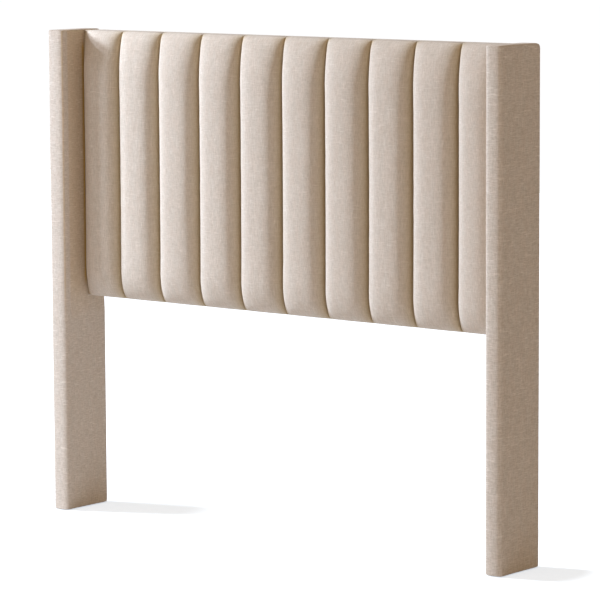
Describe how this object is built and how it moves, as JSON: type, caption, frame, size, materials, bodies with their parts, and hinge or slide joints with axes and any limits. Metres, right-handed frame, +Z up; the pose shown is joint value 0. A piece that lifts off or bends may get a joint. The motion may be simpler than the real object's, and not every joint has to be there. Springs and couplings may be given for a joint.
{
  "type": "upholstered headboard",
  "caption": "Linen-covered headboard with upright padded channels between two deep wings that run down to the floor as its legs.",
  "frame": {"origin": "on the floor, in the middle of the outer box", "axes": "+X along the width, to the right as seen from the mattress side; +Y from the mattress side to the wall side; +Z up"},
  "size_m": [1.636, 0.174, 1.422],
  "materials": {
    "linen_cloth": "matte",
    "foam": "matte",
    "dust_sheet": "matte",
    "pine": "matte",
    "plywood": "matte",
    "hardboard": "matte",
    "nylon": "matte",
    "zinc_steel": "satin"
  },
  "bodies": {
    "root": {"channel_cover_01": "linen_cloth", "channel_cover_02": "linen_cloth", "channel_cover_03": "linen_cloth", "channel_cover_04": "linen_cloth", "channel_cover_05": "linen_cloth", "channel_cover_06": "linen_cloth", "channel_cover_07": "linen_cloth", "channel_cover_08": "linen_cloth", "channel_cover_09": "linen_cloth", "channel_cover_10": "linen_cloth", "channel_foam_01": "foam", "channel_foam_02": "foam", "channel_foam_03": "foam", "channel_foam_04": "foam", "channel_foam_05": "foam", "channel_foam_06": "foam", "channel_foam_07": "foam", "channel_foam_08": "foam", "channel_foam_09": "foam", "channel_foam_10": "foam", "left_wing_back_strip": "linen_cloth", "left_wing_cover": "linen_cloth", "left_wing_foot_rail": "pine", "left_wing_front_stile": "pine", "left_wing_glides": "nylon", "left_wing_inner_skin": "hardboard", "left_wing_middle_rail": "pine", "left_wing_outer_skin": "hardboard", "left_wing_padding": "foam", "left_wing_rear_stile": "pine", "left_wing_t_nuts": "zinc_steel", "left_wing_top_rail": "pine", "panel_bottom_band": "linen_cloth", "panel_bottom_rail": "pine", "panel_corner_blocks": "pine", "panel_dust_cover": "dust_sheet", "panel_face_board": "plywood", "panel_inner_stile_1": "pine", "panel_inner_stile_2": "pine", "panel_inner_stile_3": "pine", "panel_left_stile": "pine", "panel_right_stile": "pine", "panel_top_band": "linen_cloth", "panel_top_rail": "pine", "right_wing_back_strip": "linen_cloth", "right_wing_cover": "linen_cloth", "right_wing_foot_rail": "pine", "right_wing_front_stile": "pine", "right_wing_glides": "nylon", "right_wing_inner_skin": "hardboard", "right_wing_middle_rail": "pine", "right_wing_outer_skin": "hardboard", "right_wing_padding": "foam", "right_wing_rear_stile": "pine", "right_wing_t_nuts": "zinc_steel", "right_wing_top_rail": "pine", "wing_bolt_washers": "zinc_steel", "wing_bolts": "zinc_steel"}
  },
  "joints": []
}
